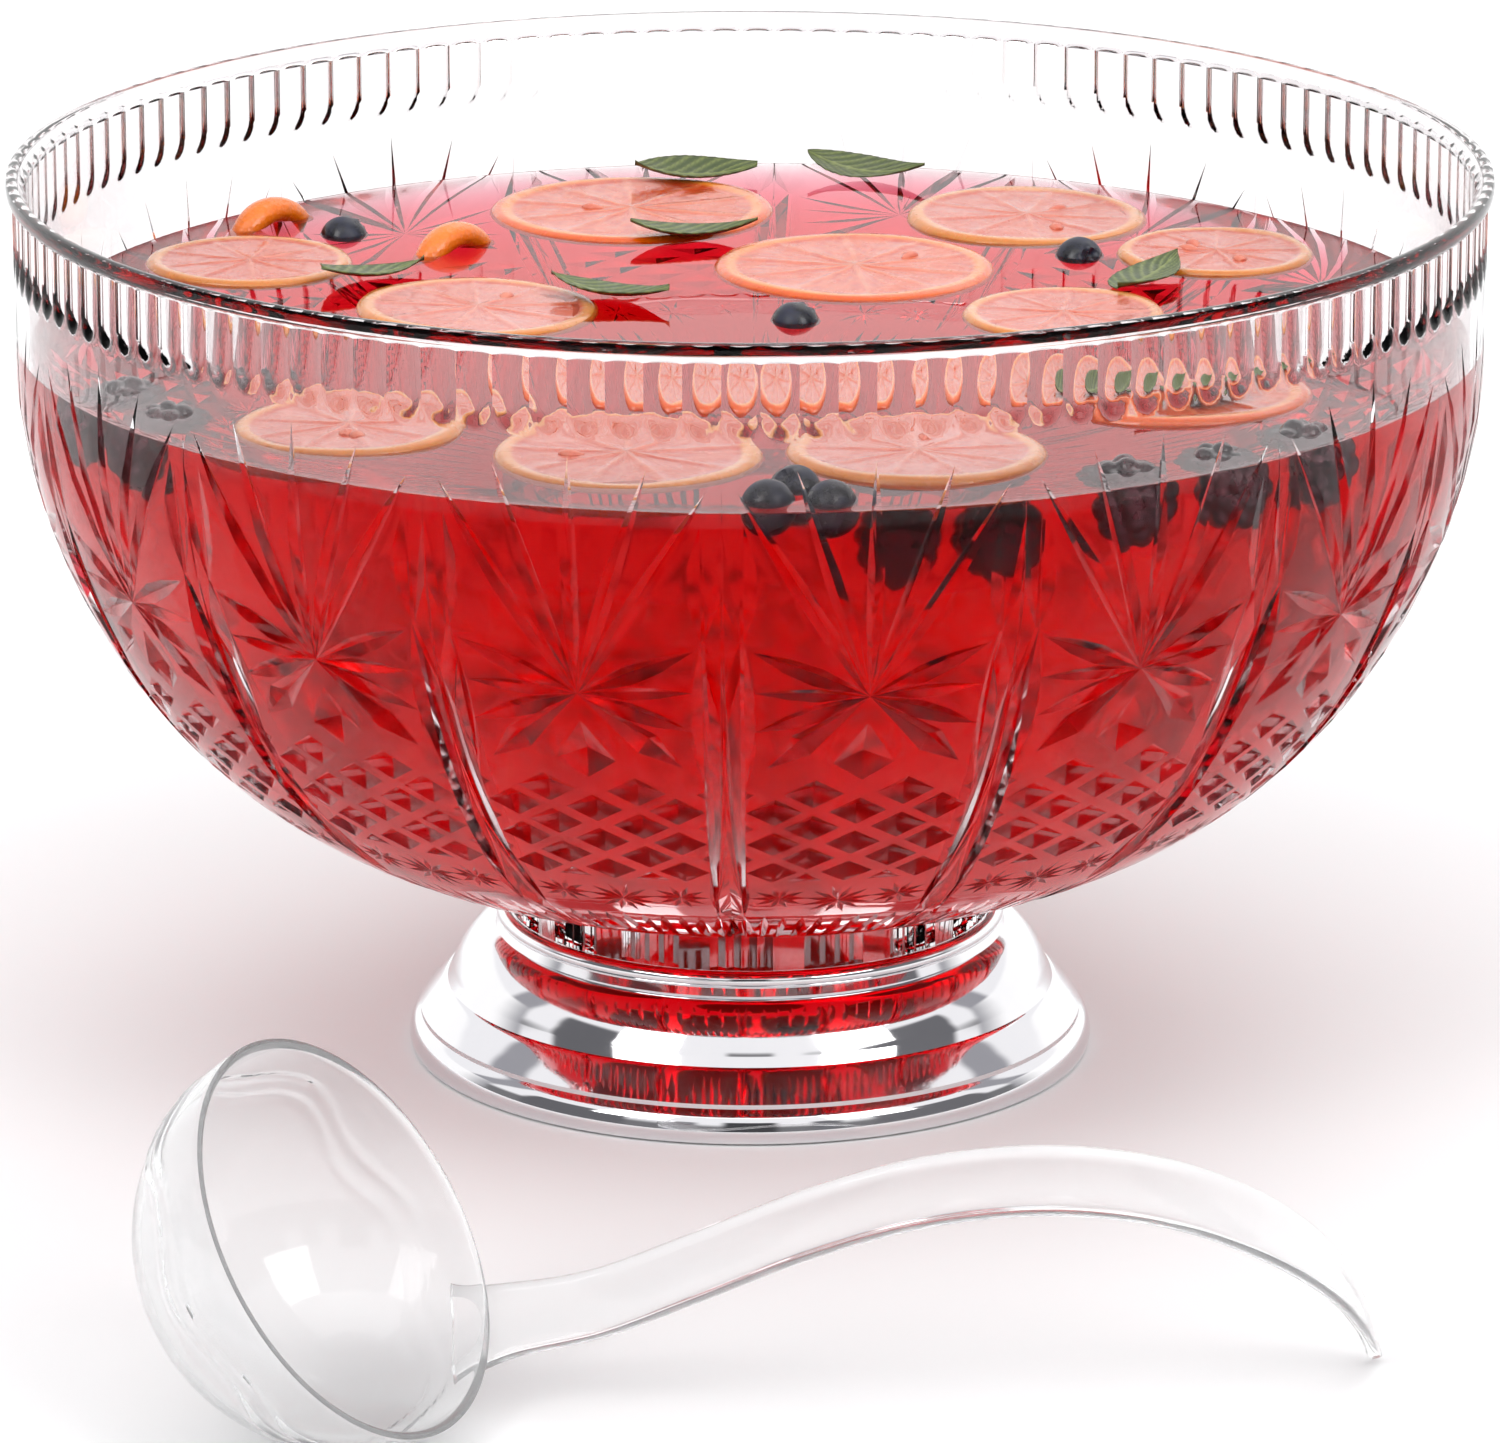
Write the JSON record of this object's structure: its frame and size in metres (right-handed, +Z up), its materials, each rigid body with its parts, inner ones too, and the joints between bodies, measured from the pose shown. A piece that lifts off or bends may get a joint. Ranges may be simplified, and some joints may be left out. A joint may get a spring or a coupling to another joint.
{
  "type": "punch bowl",
  "caption": "Clear cut-pattern bowl on a plated flared pedestal, filled with red punch and floating fruit, with a clear one-piece ladle lying in front.",
  "frame": {"origin": "the bowl's axis at the table, on the underside of the felt pad", "axes": "+Z up along the bowl's axis, -Y towards the ladle and the front"},
  "size_m": [0.356, 0.4978, 0.22],
  "materials": {
    "bowl_plastic": "clear, polished",
    "ladle_plastic": "clear, polished",
    "punch": "clear red liquid",
    "plating": "bright plated",
    "closing_plate": "satin grey",
    "felt": "dark felt",
    "orange_flesh": "wet fruit",
    "orange_peel": "wet peel",
    "lemon_flesh": "wet fruit",
    "blueberry_skin": "bloomed skin",
    "bramble_skin": "wet drupelets",
    "mint_leaf": "wet leaf"
  },
  "bodies": {
    "pedestal": {"pedestal_shell": "plating", "base_plate": "closing_plate", "felt_pad": "felt"},
    "bowl": {"bowl_shell": "bowl_plastic", "punch": "punch", "blueberry_1": "blueberry_skin", "blueberry_2": "blueberry_skin", "blueberry_3": "blueberry_skin", "blueberry_4": "blueberry_skin", "blueberry_5": "blueberry_skin", "blueberry_6": "blueberry_skin", "bramble_berry_1": "bramble_skin", "bramble_berry_2": "bramble_skin", "bramble_berry_3": "bramble_skin", "bramble_berry_4": "bramble_skin", "bramble_berry_5": "bramble_skin", "bramble_berry_6": "bramble_skin", "bramble_berry_7": "bramble_skin", "lemon_slice_1": "lemon_flesh", "lemon_slice_2": "lemon_flesh", "lemon_slice_3": "lemon_flesh", "lemon_slice_4": "lemon_flesh", "lemon_slice_5": "lemon_flesh", "lemon_slice_6": "lemon_flesh", "lemon_slice_7": "lemon_flesh", "lemon_slice_8": "lemon_flesh", "mint_leaf_1": "mint_leaf", "mint_leaf_2": "mint_leaf", "mint_leaf_3": "mint_leaf", "mint_leaf_4": "mint_leaf", "mint_leaf_5": "mint_leaf", "mint_leaf_6": "mint_leaf", "mint_leaf_7": "mint_leaf", "orange_slice_1": "orange_flesh", "orange_slice_2": "orange_flesh", "orange_slice_3": "orange_flesh", "orange_slice_4": "orange_flesh", "orange_wedge_1": "orange_peel", "orange_wedge_2": "orange_peel"},
    "ladle": {"ladle": "ladle_plastic"}
  },
  "joints": [
    {"name": "bowl_lift", "type": "slide", "parent": "pedestal", "child": "bowl", "axis": [0, 0, 1], "range_m": [0, 0.12]},
    {"name": "ladle_lift", "type": "slide", "parent": "pedestal", "child": "ladle", "axis": [0, 0, 1], "range_m": [0, 0.3]}
  ]
}
